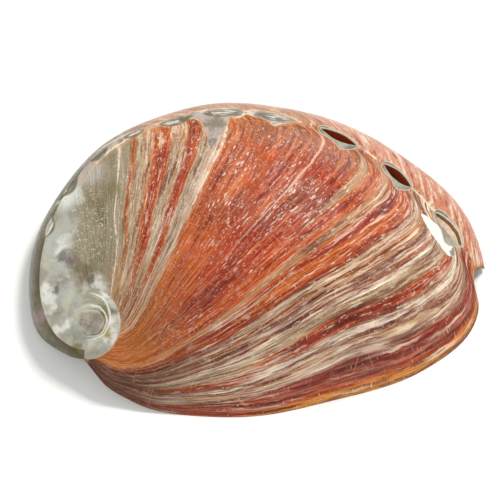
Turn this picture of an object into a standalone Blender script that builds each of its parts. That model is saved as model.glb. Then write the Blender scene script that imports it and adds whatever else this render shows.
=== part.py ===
"""Abalone shell, one solid: a flat spiral dome with a row of holes, open underneath, resting on its rim."""

import bmesh
import bpy
import numpy as np
from mathutils import Matrix

# Sizes are in millimetres about the apex of the spire; +X runs to the front end, +Y to the hole row.
MM = 0.001
SHELL_THICKNESS = 2.8
LIP_THICKNESS = 2.0
SHELF_WIDTH = 6.0
HOLE_LENGTH = 13.6
HOLE_WIDTH = 5.6
HOLE_ANGLES = (16.3, 26.4, 37.3)
HOLE_LEAN = 52
HOLE_CUT = 8.0
RIDGE_HEIGHT = 0.7
RIDGE_WIDTH = 3.0
SUTURE_DEPTH = 0.5
SUTURE_WIDTH = 1.6
OLD_WHORL_BULGE = 0.5
NUB_HEIGHT = 1.0
CREASE_ANGLE = 50

# Grid of the surface: rows are growth lines, columns run from the suture over the hole row to the rim.
ROWS_PER_TURN = 46
CREST_COLUMNS = 13
WALL_COLUMNS = 5
NUB_RINGS = 3
INSIDE_SMOOTHING = 10
COLUMN_CROWDING = 0.09

# The hole row winds inwards from the notch at the lip: turning angle in degrees, radius, height.
HOLE_ROW = (
    (10.3, 128.7, 5.6), (17.1, 121.9, 13.2), (27.2, 111.7, 21.4), (38.4, 101.2, 26.3), (49.1, 90.0, 29.0),
    (59.2, 80.9, 29.0), (68.4, 72.5, 27.0), (83.9, 61.0, 23.0), (102.4, 44.8, 18.1), (128.0, 27.0, 14.5),
    (152.0, 18.2, 13.2), (174.6, 13.9, 12.5), (203.7, 11.1, 12.5), (236.5, 9.5, 12.5), (265.9, 9.1, 12.8),
    (328.9, 7.0, 14.1), (402.4, 6.9, 15.8), (461.8, 7.6, 17.1), (514.6, 5.8, 17.8), (620.0, 4.3, 18.0),
)

# The suture, where each turn lies on the one before: turning angle and radius.
SUTURE = (
    (261.8, 11.5), (298.0, 11.0), (338.0, 10.2), (370.0, 10.1), (413.0, 10.5), (440.0, 10.6), (466.0, 10.1),
    (487.0, 9.2), (510.0, 7.8), (540.0, 6.3), (565.0, 5.5), (620.0, 5.1), (700.0, 4.8), (800.0, 4.0),
    (985.0, 3.0),
)

# A growth line that crosses the hole row at one turning angle starts from the suture at the other.
GROWTH_TURNS = ((10.3, 261.8), (60.0, 342.0), (81.0, 410.0), (92.0, 438.0), (130.0, 490.0), (177.0, 538.0),
                (261.8, 620.0), (620.0, 985.0))

# Growth lines bow forwards like the lip; older ones are straighter.
GROWTH_BOW = ((10.3, 1.0), (38.0, 0.72), (60.0, 0.45), (81.0, 0.1), (100.0, 0.0), (150.0, 0.0), (985.0, 0.0))

# The lip, from the suture round the front to the notch.
LIP = (
    (-1.8, -11.4, 11.5), (2.0, -15.7, 9.2), (5.3, -18.9, 6.9), (10.9, -21.7, 4.3), (17.1, -24.1, 2.2),
    (25.3, -25.8, 0.6), (35.9, -26.8, 0.0), (55.6, -26.6, 0.0), (79.3, -21.2, 0.0), (104.3, -13.2, 0.0),
    (114.5, -7.0, 0.0), (122.1, -0.5, 0.0), (127.0, 7.9, 0.0), (127.7, 14.0, 0.6), (126.4, 19.5, 2.4),
    (126.7, 23.0, 5.6),
)

# Heights of the dome between the lip and the hole row, and over the spire.
DOME = (
    (57.0, 27.0, 45.0), (36.0, 12.5, 38.5), (78.5, 9.0, 39.0), (95.0, 22.5, 36.5), (69.0, 48.5, 41.0),
    (36.0, 45.5, 37.5), (16.0, 32.0, 28.0), (19.5, 9.0, 27.0), (52.0, -7.0, 30.5), (85.0, -7.0, 26.5),
    (111.5, 12.5, 22.0), (29.0, -10.5, 20.5), (9.5, -3.8, 13.6), (0.0, -10.8, 12.0), (10.0, 2.0, 15.2),
    (4.0, 9.6, 17.6), (-6.0, 8.0, 17.2), (0.0, 0.0, 17.4),
)

# The steep wall outside the hole row: turning angle, how far out its foot is, height of its foot.
WALL = (
    (10.3, 4.2, 1.4), (17.1, 11.8, 0.0), (27.2, 14.0, 0.0), (38.4, 14.0, 0.0), (49.1, 13.8, 0.0),
    (59.2, 13.4, 0.0), (68.4, 12.0, 0.0), (83.9, 8.3, 0.0), (95.0, 5.8, 0.0), (111.3, 5.5, 0.4),
    (128.0, 4.5, 1.6), (152.0, 3.9, 3.0), (174.6, 3.2, 4.2), (203.7, 1.5, 6.2), (236.5, 1.7, 8.8),
    (261.8, 2.3, 11.5),
)

# The wall's profile is a cubic curve from the hole row to its foot. Its two control points, as shares of the way
# outwards and of the way down, make it leave the row level and round over. The rim lies flat up to one turning
# angle, its foot is a little higher at the notch, and on the older turn the wall sinks to the suture.
WALL_CURVE = ((0.55, 0.18), (1.0, 0.5))
FLAT_RIM_TURN = 102.5
NOTCH_FOOT = (1.4, 0.2)
OLD_WALL_SAG = 1.6


def column(table, number):
    """One column of a table of design values."""
    return np.array([row[number] for row in table], dtype=float)


def smooth(knots, values, at):
    """Natural cubic spline through the values at the knots."""
    knots, values, at = (np.asarray(a, dtype=float) for a in (knots, values, at))
    step = np.diff(knots)
    slope = np.diff(values) / step
    system = np.eye(len(knots))
    bend = np.zeros(len(knots))
    for k in range(1, len(knots) - 1):
        system[k, k - 1:k + 2] = step[k - 1], 2 * (step[k - 1] + step[k]), step[k]
        bend[k] = 6 * (slope[k] - slope[k - 1])
    curvature = np.linalg.solve(system, bend)
    k = np.clip(np.searchsorted(knots, at) - 1, 0, len(knots) - 2)
    right = (at - knots[k]) / step[k]
    left = 1 - right
    arched = (left**3 - left) * curvature[k] + (right**3 - right) * curvature[k + 1]
    return left * values[k] + right * values[k + 1] + arched * step[k]**2 / 6


def spiral(table, turn):
    """A spiral in plan as complex numbers: the logarithm of its radius runs smoothly with the turning angle."""
    radius = np.exp(smooth(column(table, 0), np.log(column(table, 1)), turn))
    return radius * np.exp(1j * np.radians(turn))


def hole_row(turn):
    return spiral(HOLE_ROW, turn)


def suture(turn):
    return spiral(SUTURE, turn)


def lip_line(part):
    """The lip in plan and its height; part runs from 0 at the suture to 1 at the notch along its length."""
    points = np.array(LIP)
    run = np.concatenate([[0], np.cumsum(np.hypot(*np.diff(points[:, :2], axis=0).T))])
    x, y, z = (smooth(run / run[-1], points[:, k], part) for k in range(3))
    return x + 1j * y, np.maximum(z, 0)


def growth_rows():
    """Turning angles of the growth lines: evenly spaced along the hole row for the last turn, then the
    angles at which those lines start from the suture, so that each turn meets the one before it."""
    turn = np.linspace(HOLE_ROW[0][0], SUTURE[0][0], 4000)
    run = np.concatenate([[0], np.cumsum(np.abs(np.diff(hole_row(turn))))])
    last = np.interp(np.linspace(0, run[-1], ROWS_PER_TURN + 1), run, turn)
    before = smooth(column(GROWTH_TURNS, 0), column(GROWTH_TURNS, 1), last[1:])
    return np.concatenate([last, before])


def dome_height(place):
    """Height of a thin plate bent through the heights along the hole row and the lip and over the dome."""
    row_turns = column(HOLE_ROW, 0)
    outer = row_turns < 250
    row_places = hole_row(row_turns[outer])
    part = np.linspace(0, 1, 18)
    lip_places, lip_heights = lip_line(part)
    dome = np.array(DOME)
    pins = np.concatenate([row_places, lip_places[:-1], dome[:, 0] + 1j * dome[:, 1]])
    heights = np.concatenate([column(HOLE_ROW, 2)[outer], lip_heights[:-1], dome[:, 2]])

    def bending(distance):
        return distance**2 * np.log(np.maximum(distance, 1e-9))

    count = len(pins)
    flat = np.stack([np.ones(count), pins.real, pins.imag], axis=1)
    system = np.zeros((count + 3, count + 3))
    system[:count, :count] = bending(np.abs(pins[:, None] - pins[None, :]))
    system[:count, count:] = flat
    system[count:, :count] = flat.T
    weights = np.linalg.solve(system, np.concatenate([heights, np.zeros(3)]))
    plate = bending(np.abs(place[..., None] - pins)) @ weights[:count]
    return plate + weights[count] + weights[count + 1] * place.real + weights[count + 2] * place.imag


def column_parts():
    """Where the columns lie from the suture, 0, to the hole row, 1: closer together at both ends."""
    even = np.linspace(0, 1, CREST_COLUMNS + 1)
    return even - COLUMN_CROWDING * np.sin(2 * np.pi * even)


def outer_surface():
    """Grid of the outside: x + iy in plan, and z, for each growth line and column."""
    turn = growth_rows()
    rows = len(turn)
    start = suture(smooth(column(GROWTH_TURNS, 0), column(GROWTH_TURNS, 1), turn))
    row_end = hole_row(turn)
    lip, lip_height = lip_line(column_parts())
    shape = (lip - lip[0]) / (lip[-1] - lip[0])
    bow = smooth(column(GROWTH_BOW, 0), column(GROWTH_BOW, 1), turn)
    crest = start[:, None] + (row_end - start)[:, None] * (shape.real + 1j * bow[:, None] * shape.imag)

    from_row = np.abs(crest - row_end[:, None])
    from_suture = np.abs(crest - start[:, None])
    old = (np.arange(rows) > ROWS_PER_TURN)[:, None]
    height = dome_height(crest)
    height += RIDGE_HEIGHT * np.exp(-(from_row / RIDGE_WIDTH)**2) * np.minimum(from_suture / 4, 1)
    height -= SUTURE_DEPTH * np.exp(-(from_suture / SUTURE_WIDTH)**2)
    height += OLD_WHORL_BULGE * old * np.sin(np.pi * np.clip(column_parts(), 0, 1))
    height[0] = lip_height

    along = np.gradient(row_end, turn)
    outwards = -1j * along / np.abs(along)
    wide = smooth(column(WALL, 0), column(WALL, 1), np.minimum(turn, 261.8))
    foot = np.maximum(smooth(column(WALL, 0), column(WALL, 2), np.minimum(turn, 261.8)), 0)
    foot[turn < FLAT_RIM_TURN] = 0
    foot[:len(NOTCH_FOOT)] = NOTCH_FOOT
    ease = np.linspace(0, 1, WALL_COLUMNS + 1)[1:]
    early, late = 3 * (1 - ease)**2 * ease, 3 * (1 - ease) * ease**2
    out = early * WALL_CURVE[0][0] + late * WALL_CURVE[1][0] + ease**3
    down = early * WALL_CURVE[0][1] + late * WALL_CURVE[1][1] + ease**3
    wall = row_end[:, None] + wide[:, None] * outwards[:, None] * out
    wall_height = height[:, -1:] + (foot[:, None] - height[:, -1:]) * down

    covered = suture(turn[ROWS_PER_TURN:])
    old_row = row_end[ROWS_PER_TURN:]
    wall[ROWS_PER_TURN:] = old_row[:, None] + (covered - old_row)[:, None] * ease
    edge = height[:ROWS_PER_TURN + 1, 0]
    ridge = height[ROWS_PER_TURN:, -1]
    wall_height[ROWS_PER_TURN:] = ridge[:, None] + (edge - ridge)[:, None] * ease**OLD_WALL_SAG
    return np.concatenate([crest, wall], axis=1), np.concatenate([height, wall_height], axis=1)


def skin():
    """The outside as one disc: points, quads and triangles, and the loop of its rim."""
    place, height = outer_surface()
    rows, columns = place.shape
    number = np.arange(rows * columns).reshape(rows, columns)
    number[ROWS_PER_TURN:, -1] = number[:ROWS_PER_TURN + 1, 0]
    points = np.stack([place.real, place.imag, height], axis=-1).reshape(-1, 3)

    quads = np.stack([number[:-1, :-1], number[:-1, 1:], number[1:, 1:], number[1:, :-1]], axis=-1)
    faces = [tuple(q) for q in quads.reshape(-1, 4)]

    ring = np.concatenate([number[ROWS_PER_TURN:, 0], number[-1, 1:-1]])
    base = points[ring]
    apex = base.mean(axis=0)
    for k in range(1, NUB_RINGS):
        inwards = k / NUB_RINGS
        circle = base + (apex - base) * inwards
        circle[:, 2] += NUB_HEIGHT * (1 - (1 - inwards)**2)
        inner = len(points) + np.arange(len(ring))
        points = np.concatenate([points, circle])
        after = np.roll(inner, -1)
        faces += [tuple(f) for f in np.stack([ring, inner, after, np.roll(ring, -1)], axis=1)]
        ring = inner
    points = np.concatenate([points, [apex + (0, 0, NUB_HEIGHT)]])
    faces += [(a, len(points) - 1, b) for a, b in zip(ring, np.roll(ring, -1))]

    rim = np.concatenate([number[0], number[1:ROWS_PER_TURN, -1]])
    used = np.unique(np.concatenate([np.ravel(f) for f in faces]))
    renumber = np.full(len(points), -1)
    renumber[used] = np.arange(len(used))
    faces = [tuple(int(renumber[v]) for v in f) for f in faces]
    return points[used], faces, renumber[rim]


def neighbour_mean(values, edges, weight):
    """Mean of each point's neighbours along the edges."""
    total = np.zeros_like(values)
    np.add.at(total, edges[:, 0], values[edges[:, 1]])
    np.add.at(total, edges[:, 1], values[edges[:, 0]])
    return total / weight[:, None]


def outward_normals(points, faces, edges, weight):
    """Normals of the skin, evened out so that the inside doesn't fold under the hole row."""
    normal = np.zeros_like(points)
    for face in faces:
        a, b, c = points[face[0]], points[face[1]], points[face[2]]
        turn = np.cross(b - a, c - a)
        if len(face) == 4:
            turn = turn + np.cross(c - a, points[face[3]] - a)
        normal[list(face)] += turn
    if normal[:, 2].sum() < 0:
        normal = -normal
    for _ in range(8):
        normal /= np.linalg.norm(normal, axis=1)[:, None] + 1e-12
        normal = normal + neighbour_mean(normal, edges, weight)
    return normal / np.linalg.norm(normal, axis=1)[:, None]


def rim_depth(count):
    """Width of the rim's underside along the loop: thin at the lip, a broad shelf on the far side."""
    lip_points = CREST_COLUMNS + WALL_COLUMNS + 1
    width = np.full(count, LIP_THICKNESS)
    along = np.linspace(0, 1, count - lip_points + 1)[1:]
    width[lip_points:] += (SHELF_WIDTH - LIP_THICKNESS) * np.sin(np.pi * along**0.8)**0.7
    return width


def shell_solid():
    """The skin and, a shell's thickness below it, the inside; the rim joins the two."""
    outside, faces, rim = skin()
    edges = np.array([(f[k], f[(k + 1) % len(f)]) for f in faces for k in range(len(f))])
    edges = np.unique(np.sort(edges, axis=1), axis=0)
    weight = np.bincount(edges.ravel(), minlength=len(outside)).astype(float)
    normal = outward_normals(outside, faces, edges, weight)
    inside = outside - normal * SHELL_THICKNESS

    loop = outside[rim, 0] + 1j * outside[rim, 1]
    along = np.roll(loop, -1) - np.roll(loop, 1)
    for _ in range(2):
        along = along / np.abs(along)
        along = along + 0.5 * (np.roll(along, 1) + np.roll(along, -1))
    inner_loop = loop + 1j * along / np.abs(along) * rim_depth(len(rim))
    edge = np.stack([inner_loop.real, inner_loop.imag, outside[rim, 2]], axis=1)
    for _ in range(INSIDE_SMOOTHING):
        inside[rim] = edge
        inside = 0.5 * inside + 0.5 * neighbour_mean(inside, edges, weight)
        inside[:, 2] = np.maximum(inside[:, 2], 0)
    inside[rim] = edge

    count = len(outside)
    after = np.roll(rim, -1)
    closed = faces + [tuple(int(v) + count for v in face[::-1]) for face in faces]
    closed += [(int(b), int(a), int(a) + count, int(b) + count) for a, b in zip(rim, after)]
    return np.concatenate([outside, inside]), closed


def make_object(name, points, faces):
    """A closed solid, its faces outwards, smooth except at its creases."""
    mesh = bpy.data.meshes.new(name)
    mesh.from_pydata((points * MM).tolist(), [], faces)
    solid = bmesh.new()
    solid.from_mesh(mesh)
    bmesh.ops.recalc_face_normals(solid, faces=solid.faces)
    bmesh.ops.triangulate(solid, faces=solid.faces)
    solid.to_mesh(mesh)
    solid.free()
    mesh.shade_smooth()
    mesh.set_sharp_from_angle(angle=np.radians(CREASE_ANGLE))
    made = bpy.data.objects.new(name, mesh)
    bpy.context.collection.objects.link(made)
    return made


def hole_cutter(number, turn, height):
    """A prism of the hole's outline, a lens along the hole row, set square to the crest."""
    before, centre, after = hole_row(np.array([turn - 2.0, turn, turn + 2.0]))
    along = (after - before) / abs(after - before)
    rise = (height[2] - height[0]) / abs(after - before)
    lengthways = np.array([along.real, along.imag, rise])
    lengthways /= np.linalg.norm(lengthways)
    out = -1j * along
    lean = np.radians(HOLE_LEAN)
    axis = np.array([out.real * np.cos(lean), out.imag * np.cos(lean), np.sin(lean)])
    axis -= lengthways * (axis @ lengthways)
    axis /= np.linalg.norm(axis)
    across = np.cross(axis, lengthways)
    s = np.linspace(-1, 1, 7)
    half = np.concatenate([s, s[-2:0:-1]])
    side = np.concatenate([1 - s**2, -(1 - s[-2:0:-1]**2)])
    ring = half[:, None] * lengthways * HOLE_LENGTH / 2 + side[:, None] * across * HOLE_WIDTH / 2
    middle = np.array([centre.real, centre.imag, height[1]])
    points = np.concatenate([middle + ring + axis * HOLE_CUT, middle + ring - axis * HOLE_CUT])
    count = len(ring)
    faces = [tuple(range(count)), tuple(range(2 * count - 1, count - 1, -1))]
    faces += [(k, (k + 1) % count, (k + 1) % count + count, k + count) for k in range(count)]
    cutter = make_object("hole_%d" % number, points, faces)
    cutter.hide_render = True
    cutter.display_type = "WIRE"
    return cutter


def polished_finish():
    """Polished shell: red and cream growth bands over mother-of-pearl, here as one middle colour."""
    material = bpy.data.materials.new("polished_shell")
    material.use_nodes = True
    shader = material.node_tree.nodes["Principled BSDF"]
    shader.inputs["Base Color"].default_value = (0.55, 0.20, 0.11, 1)
    shader.inputs["Roughness"].default_value = 0.28
    shader.inputs["Metallic"].default_value = 0.0
    return material


def build():
    points, faces = shell_solid()
    middle = (points.min(axis=0) + points.max(axis=0)) / 2
    middle[2] = 0
    shell = make_object("shell", points, faces)
    shell.data.materials.append(polished_finish())
    for number, turn in enumerate(HOLE_ANGLES):
        places = hole_row(np.array([turn - 2.0, turn, turn + 2.0]))
        cutter = hole_cutter(number, turn, dome_height(places) + RIDGE_HEIGHT)
        cutter.location = -middle * MM
        cut = shell.modifiers.new(cutter.name, "BOOLEAN")
        cut.operation = "DIFFERENCE"
        cut.solver = "EXACT"
        cut.object = cutter
    shell.data.transform(Matrix.Translation(-middle * MM))


for left_over in list(bpy.data.objects):
    bpy.data.objects.remove(left_over, do_unlink=True)
build()
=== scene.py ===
import bpy
import numpy as np
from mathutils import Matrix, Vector


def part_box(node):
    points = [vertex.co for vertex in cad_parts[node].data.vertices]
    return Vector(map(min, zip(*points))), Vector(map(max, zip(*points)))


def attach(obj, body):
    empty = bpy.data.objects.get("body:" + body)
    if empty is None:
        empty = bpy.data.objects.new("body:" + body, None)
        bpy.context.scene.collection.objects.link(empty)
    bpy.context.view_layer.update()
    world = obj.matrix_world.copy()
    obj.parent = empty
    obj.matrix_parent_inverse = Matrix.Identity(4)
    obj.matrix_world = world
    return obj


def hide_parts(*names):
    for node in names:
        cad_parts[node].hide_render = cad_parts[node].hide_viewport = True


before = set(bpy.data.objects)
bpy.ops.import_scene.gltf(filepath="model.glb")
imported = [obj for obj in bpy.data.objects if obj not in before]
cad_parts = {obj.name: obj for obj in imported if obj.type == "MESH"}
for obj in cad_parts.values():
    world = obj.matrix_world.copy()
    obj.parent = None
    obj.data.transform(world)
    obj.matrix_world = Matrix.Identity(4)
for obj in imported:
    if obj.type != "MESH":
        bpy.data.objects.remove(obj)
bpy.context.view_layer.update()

# The hole row and the suture. The shell grows as one spiral: the row of breathing holes winds out from the
# spire to the notch at the lip, and the suture is the line where each turn lies on the one before it.
HOLE_ROW = (
    (10.3, 128.7, 5.6), (17.1, 121.9, 13.2), (27.2, 111.7, 21.4), (38.4, 101.2, 26.3), (49.1, 90.0, 29.0),
    (59.2, 80.9, 29.0), (68.4, 72.5, 27.0), (83.9, 61.0, 23.0), (102.4, 44.8, 18.1), (128.0, 27.0, 14.5),
    (152.0, 18.2, 13.2), (174.6, 13.9, 12.5), (203.7, 11.1, 12.5), (236.5, 9.5, 12.5), (265.9, 9.1, 12.8),
    (328.9, 7.0, 14.1), (402.4, 6.9, 15.8), (461.8, 7.6, 17.1), (514.6, 5.8, 17.8), (620.0, 4.3, 18.0),
)
SUTURE = (
    (261.8, 11.5), (298.0, 11.0), (338.0, 10.2), (370.0, 10.1), (413.0, 10.5), (440.0, 10.6), (466.0, 10.1),
    (487.0, 9.2), (510.0, 7.8), (540.0, 6.3), (565.0, 5.5), (620.0, 5.1), (700.0, 4.8), (800.0, 4.0),
    (985.0, 3.0),
)


def column(table, number):
    """One column of a table of design values."""
    return np.array([row[number] for row in table], dtype=float)


def smooth(knots, values, at):
    """Natural cubic spline: between two knots the value is the straight line plus a cubic bend, and the bends
    are solved together so that slope and curvature run on through every knot."""
    knots, values, at = (np.asarray(a, dtype=float) for a in (knots, values, at))
    step = np.diff(knots)
    slope = np.diff(values) / step
    inner = np.arange(1, len(knots) - 1)
    system = np.eye(len(knots))
    system[inner, inner - 1] = step[:-1]
    system[inner, inner] = 2 * (step[:-1] + step[1:])
    system[inner, inner + 1] = step[1:]
    bend = np.zeros(len(knots))
    bend[inner] = 6 * np.diff(slope)
    curvature = np.linalg.solve(system, bend)
    k = np.clip(np.searchsorted(knots, at) - 1, 0, len(knots) - 2)
    right = (at - knots[k]) / step[k]
    left = 1 - right
    arched = (left**3 - left) * curvature[k] + (right**3 - right) * curvature[k + 1]
    return left * values[k] + right * values[k + 1] + arched * step[k]**2 / 6


def spiral(table, turn):
    """A spiral in plan as x + iy: the logarithm of its radius runs smoothly with the turning angle."""
    radius = np.exp(smooth(column(table, 0), np.log(column(table, 1)), turn))
    return radius * np.exp(1j * np.radians(turn))


# Growth lines. The mantle adds shell along the whole lip at once, so every growth line is an older lip,
# smaller and straighter, from the suture to the hole row. They are the rows of the surface, and its columns
# crowd together towards the suture and the hole row.
GROWTH_TURNS = ((10.3, 261.8), (60.0, 342.0), (81.0, 410.0), (92.0, 438.0), (130.0, 490.0), (177.0, 538.0),
                (261.8, 620.0), (620.0, 985.0))
GROWTH_BOW = ((10.3, 1.0), (38.0, 0.72), (60.0, 0.45), (81.0, 0.1), (100.0, 0.0), (150.0, 0.0), (985.0, 0.0))
LIP = (
    (-1.8, -11.4, 11.5), (2.0, -15.7, 9.2), (5.3, -18.9, 6.9), (10.9, -21.7, 4.3), (17.1, -24.1, 2.2),
    (25.3, -25.8, 0.6), (35.9, -26.8, 0.0), (55.6, -26.6, 0.0), (79.3, -21.2, 0.0), (104.3, -13.2, 0.0),
    (114.5, -7.0, 0.0), (122.1, -0.5, 0.0), (127.0, 7.9, 0.0), (127.7, 14.0, 0.6), (126.4, 19.5, 2.4),
    (126.7, 23.0, 5.6),
)
TURN_ROWS = 240
CREST_COLUMNS = 74
WALL_COLUMNS = 16
CROWDING = (0.115, 0.012)
FINE_STEPS = 6000


def lip_line(part):
    """The lip in plan and its height: cubic curves through its points by their run along it, 0 to 1."""
    points = np.array(LIP)
    run = np.concatenate([[0], np.cumsum(np.hypot(*np.diff(points[:, :2], axis=0).T))])
    x, y, z = (smooth(run / run[-1], points[:, k], part) for k in range(3))
    return x + 1j * y, np.maximum(z, 0)


def growth_turns():
    """Turning angles of the rows: even steps along the hole row for the last turn, then the angles at which
    those same lines leave the suture, so that each turn meets the one before it point by point."""
    turn = np.linspace(HOLE_ROW[0][0], SUTURE[0][0], FINE_STEPS)
    run = np.concatenate([[0], np.cumsum(np.abs(np.diff(spiral(HOLE_ROW, turn))))])
    last = np.interp(np.linspace(0, run[-1], TURN_ROWS + 1), run, turn)
    before = smooth(column(GROWTH_TURNS, 0), column(GROWTH_TURNS, 1), last[1:])
    return np.concatenate([last, before])


even = np.linspace(0, 1, CREST_COLUMNS + 1)
crest_part = even - CROWDING[0] * np.sin(2 * np.pi * even) - CROWDING[1] * np.sin(4 * np.pi * even)
turn = growth_turns()
age = np.arange(len(turn)) / TURN_ROWS
start = spiral(SUTURE, smooth(column(GROWTH_TURNS, 0), column(GROWTH_TURNS, 1), turn))
row_end = spiral(HOLE_ROW, turn)
lip, lip_height = lip_line(crest_part)
lip_shape = (lip - lip[0]) / (lip[-1] - lip[0])
bow = smooth(column(GROWTH_BOW, 0), column(GROWTH_BOW, 1), turn)
crest = start[:, None] + (row_end - start)[:, None] * (lip_shape.real + 1j * bow[:, None] * lip_shape.imag)

# The dome. Its height is that of a thin plate bent through the heights along the hole row and the lip and a
# few over the crest and spire; the whorls add a raised hole row, a suture groove and growth ridges.
DOME = (
    (57.0, 27.0, 45.0), (36.0, 12.5, 38.5), (78.5, 9.0, 39.0), (95.0, 22.5, 36.5), (69.0, 48.5, 41.0),
    (36.0, 45.5, 37.5), (16.0, 32.0, 28.0), (19.5, 9.0, 27.0), (52.0, -7.0, 30.5), (85.0, -7.0, 26.5),
    (111.5, 12.5, 22.0), (29.0, -10.5, 20.5), (9.5, -3.8, 13.6), (0.0, -10.8, 12.0), (10.0, 2.0, 15.2),
    (4.0, 9.6, 17.6), (-6.0, 8.0, 17.2), (0.0, 0.0, 17.4),
)
LAST_TURN_END = 250
LIP_PINS = 18
SAME_PLACE = 1e-9
RIDGE_HEIGHT = 0.7
RIDGE_WIDTH = 3.0
RIDGE_CLEARANCE = 4.0
SUTURE_DEPTH = 0.5
SUTURE_WIDTH = 1.6
OLD_WHORL_BULGE = 0.5
WHORL_ONSET = 12


def dome_height(place):
    """Thin plate: a plane plus, for every pinned height, a weight times d squared log d of the distance d
    to it. The weights are solved so that the plate passes through all the heights."""
    row_turns = column(HOLE_ROW, 0)
    outer = row_turns < LAST_TURN_END
    lip_places, lip_heights = lip_line(np.linspace(0, 1, LIP_PINS))
    dome = np.array(DOME)
    pins = np.concatenate([spiral(HOLE_ROW, row_turns[outer]), lip_places[:-1], dome[:, 0] + 1j * dome[:, 1]])
    heights = np.concatenate([column(HOLE_ROW, 2)[outer], lip_heights[:-1], dome[:, 2]])
    gap = np.abs(pins[:, None] - pins[None, :])
    count = len(pins)
    system = np.zeros((count + 3, count + 3))
    system[:count, :count] = gap**2 * np.log(np.maximum(gap, SAME_PLACE))
    system[:count, count:] = np.stack([np.ones(count), pins.real, pins.imag], axis=1)
    system[count:, :count] = system[:count, count:].T
    weights = np.linalg.solve(system, np.concatenate([heights, np.zeros(3)]))
    reach = np.abs(place[..., None] - pins)
    plate = (reach**2 * np.log(np.maximum(reach, SAME_PLACE))) @ weights[:count]
    return plate + weights[count] + weights[count + 1] * place.real + weights[count + 2] * place.imag


def eased(share):
    """A share from 0 to 1, with its change slowed down at both ends."""
    return share**2 * (3 - 2 * share)


from_row = np.abs(crest - row_end[:, None])
from_suture = np.abs(crest - start[:, None])
old = np.clip((age - 1) * WHORL_ONSET, 0, 1)[:, None]
crest_height = dome_height(crest)
raised = np.exp(-(from_row / RIDGE_WIDTH)**2) * np.minimum(from_suture / RIDGE_CLEARANCE, 1)
crest_height += RIDGE_HEIGHT * raised
crest_height -= SUTURE_DEPTH * np.exp(-(from_suture / SUTURE_WIDTH)**2)
crest_height += OLD_WHORL_BULGE * old * np.sin(np.pi * crest_part)

# Growth ridges: waves over the age, bent a little along each line, strongest on the young part, where less
# was ground off, and fading towards the suture, the spire and the lip. Each has its number per turn, height
# and phase.
GROWTH_RIDGES = ((23, 0.10, 0.3), (41, 0.09, 1.9), (67, 0.07, 4.0), (103, 0.045, 2.2))
RIDGES_END = 0.75
RIDGES_BEGIN = 0.02
GROUND_FROM = 0.26
GROUND_OVER = 0.1
GROUND_SHARE = 0.65
RIDGES_FADE = 14.0
wander = 0.9 * np.sin(5.1 * crest_part) + 0.5 * np.sin(13 * crest_part + 1)
ridges = sum(depth * np.sin(2 * np.pi * per_turn * age[:, None] + phase + wander * (1 + per_turn / 60))
             for per_turn, depth, phase in GROWTH_RIDGES)
fading = np.clip(1 - age / RIDGES_END, 0, 1) * np.clip(age / RIDGES_BEGIN, 0, 1)
less_ground = 1 - GROUND_SHARE * (1 - np.clip((GROUND_FROM - age) / GROUND_OVER, 0, 1))
crest_height += ridges * (fading * less_ground)[:, None] * np.clip(from_suture / RIDGES_FADE, 0, 1)

# The spire's tip is worn to a low dome: inside its edge the height eases over to that of the top, less a
# share of the squared distance from the apex.
TIP_TOP = 18.5
TIP_FALL = 0.05
TIP_EDGE = 6.6
TIP_EASE = 2.4
worn = eased(np.clip((TIP_EDGE - np.abs(crest)) / TIP_EASE, 0, 1))
crest_height += (TIP_TOP - TIP_FALL * np.abs(crest)**2 - crest_height) * worn
crest_height[0] = lip_height

# The wall outside the hole row, steep and rounded, down to the rim that the shell rests on. Under the spire
# it is low and its foot rises clear of the table. On the older turn it runs only to the suture over it.
WALL = (
    (10.3, 4.2, 1.4), (17.1, 11.8, 0.0), (27.2, 14.0, 0.0), (38.4, 14.0, 0.0), (49.1, 13.8, 0.0),
    (59.2, 13.4, 0.0), (68.4, 12.0, 0.0), (83.9, 8.3, 0.0), (95.0, 5.8, 0.0), (111.3, 5.5, 0.4),
    (128.0, 4.5, 1.6), (152.0, 3.9, 3.0), (174.6, 3.2, 4.2), (203.7, 1.5, 6.2), (236.5, 1.7, 8.8),
    (261.8, 2.3, 11.5),
)
# A cubic curve from the row to the foot: its control points as shares of the way out and of the way down.
WALL_CURVE = ((0.55, 0.18), (1.0, 0.5))
FLAT_RIM = (16, 100)
OLD_WALL_SAG = 1.6
FOOT_CROWDING = 0.4
WALL_PART = 0.3

along = np.gradient(row_end, turn)
outwards = -1j * along / np.abs(along)
last_turn = np.minimum(turn, WALL[-1][0])
wide = smooth(column(WALL, 0), column(WALL, 1), last_turn)
foot = np.maximum(smooth(column(WALL, 0), column(WALL, 2), last_turn), 0)
foot[(turn > FLAT_RIM[0]) & (turn < FLAT_RIM[1])] = 0
ease = np.linspace(0, 1, WALL_COLUMNS + 1)[1:]
ease = (1 - FOOT_CROWDING) * ease + FOOT_CROWDING * ease**2
early, late = 3 * (1 - ease)**2 * ease, 3 * (1 - ease) * ease**2
out = early * WALL_CURVE[0][0] + late * WALL_CURVE[1][0] + ease**3
down = early * WALL_CURVE[0][1] + late * WALL_CURVE[1][1] + ease**3
wall = row_end[:, None] + wide[:, None] * outwards[:, None] * out
wall_height = crest_height[:, -1:] + (foot[:, None] - crest_height[:, -1:]) * down
covered = spiral(SUTURE, turn[TURN_ROWS:])
wall[TURN_ROWS:] = row_end[TURN_ROWS:, None] + (covered - row_end[TURN_ROWS:])[:, None] * ease
edge_height = crest_height[:TURN_ROWS + 1, 0]
ridge = crest_height[TURN_ROWS:, -1]
wall_height[TURN_ROWS:] = ridge[:, None] + (edge_height - ridge)[:, None] * ease**OLD_WALL_SAG

place = np.concatenate([crest, wall], axis=1)
height = np.concatenate([crest_height, wall_height], axis=1)
outside = np.stack([place.real, place.imag, height], axis=-1)
part = np.concatenate([crest_part, 1 + WALL_PART * ease])
growth = np.stack(np.broadcast_arrays(age[:, None], part[None, :]), axis=-1).copy()

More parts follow.
